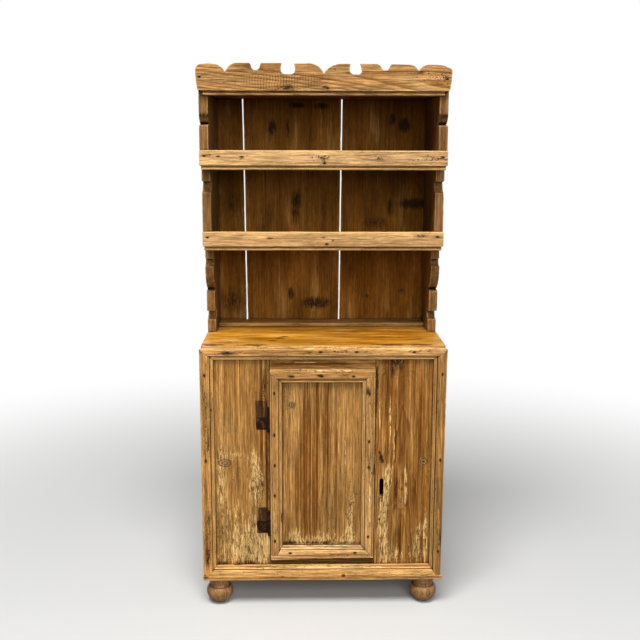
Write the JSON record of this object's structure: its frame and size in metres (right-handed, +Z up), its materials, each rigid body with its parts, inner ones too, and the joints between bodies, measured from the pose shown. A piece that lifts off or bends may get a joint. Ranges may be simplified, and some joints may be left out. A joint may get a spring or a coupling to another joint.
{
  "type": "hutch cupboard",
  "caption": "Pine hutch: open plate rack with lipped shelves and a scalloped crest, on a low base with a framed panel door and bun feet.",
  "frame": {"origin": "centre of the bounding box's footprint, on the floor", "axes": "+Z up, +X to the right seen from the front, -Y towards the viewer (front)"},
  "size_m": [0.828, 0.455, 1.84],
  "materials": {
    "front_pine": "waxed, worn",
    "top_pine": "waxed, satin",
    "rack_pine": "waxed, worn",
    "back_pine": "dry, darkened",
    "inner_pine": "dry",
    "foot_wood": "waxed",
    "hinge_iron": "rusted",
    "nail_iron": "dark"
  },
  "bodies": {
    "carcass": {"base_back_plank_left": "back_pine", "base_back_plank_middle": "back_pine", "base_back_plank_right": "back_pine", "base_floor": "inner_pine", "base_side_left": "inner_pine", "base_side_right": "inner_pine", "base_top": "top_pine", "crest_board": "rack_pine", "door_stop": "inner_pine", "fixed_leaf_nails": "nail_iron", "foot_back_left": "foot_wood", "foot_back_right": "foot_wood", "foot_batten_left": "inner_pine", "foot_batten_right": "inner_pine", "foot_front_left": "foot_wood", "foot_front_right": "foot_wood", "frame_moulding_bottom": "front_pine", "frame_moulding_left": "front_pine", "frame_moulding_right": "front_pine", "frame_moulding_top": "front_pine", "frame_nails": "nail_iron", "front_board_left": "front_pine", "front_board_right": "front_pine", "front_head_rail": "front_pine", "front_sill_rail": "front_pine", "hinge_lower_fixed_leaf": "hinge_iron", "hinge_lower_pin": "hinge_iron", "hinge_upper_fixed_leaf": "hinge_iron", "hinge_upper_pin": "hinge_iron", "inner_shelf": "inner_pine", "rack_back_plank_left": "back_pine", "rack_back_plank_middle": "back_pine", "rack_back_plank_right": "back_pine", "rack_dowels": "rack_pine", "rack_foot_rail": "rack_pine", "rack_nails": "nail_iron", "rack_roof": "rack_pine", "rack_shelf_lower": "rack_pine", "rack_shelf_upper": "rack_pine", "rack_side_left": "rack_pine", "rack_side_right": "rack_pine", "shelf_cleat_left": "inner_pine", "shelf_cleat_right": "inner_pine", "shelf_rail_lower": "rack_pine", "shelf_rail_upper": "rack_pine"},
    "door": {"door_rail_top": "front_pine", "door_rail_bottom": "front_pine", "door_stile_left": "front_pine", "door_stile_right": "front_pine", "door_panel": "front_pine", "door_moulding_top": "front_pine", "door_moulding_bottom": "front_pine", "door_moulding_left": "front_pine", "door_moulding_right": "front_pine", "hinge_upper_door_leaf": "hinge_iron", "hinge_lower_door_leaf": "hinge_iron", "door_nails": "nail_iron", "door_leaf_nails": "nail_iron"}
  },
  "joints": [
    {"name": "door_hinge", "type": "hinge", "parent": "carcass", "child": "door", "pos_m": [-0.1855, -0.2145, 0.5155], "axis": [0, 0, -1], "range_deg": [0, 147]}
  ]
}
